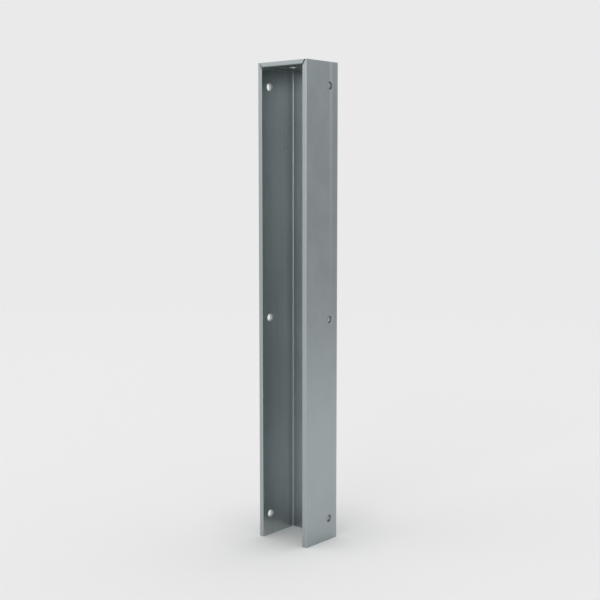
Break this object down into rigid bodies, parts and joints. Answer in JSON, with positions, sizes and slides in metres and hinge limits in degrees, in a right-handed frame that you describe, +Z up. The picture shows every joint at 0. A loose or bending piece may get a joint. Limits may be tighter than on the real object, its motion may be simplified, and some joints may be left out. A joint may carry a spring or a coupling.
{
  "type": "steel stud",
  "caption": "Short upright channel stud folded from steel sheet, open at the front and foot, with a mitred top flap and drilled side flanges.",
  "frame": {"origin": "centre of the stud's outline at the level of its foot", "axes": "+Z up the stud's length, +Y towards the web at the back, so the open front faces -Y, and +X towards the flange whose holes are near the back"},
  "size_m": [0.06, 0.05, 0.46],
  "materials": {
    "steel": "satin, blue-grey, faintly mottled mill or zinc finish"
  },
  "bodies": {
    "root": {"steel_stud": "steel"}
  },
  "joints": []
}
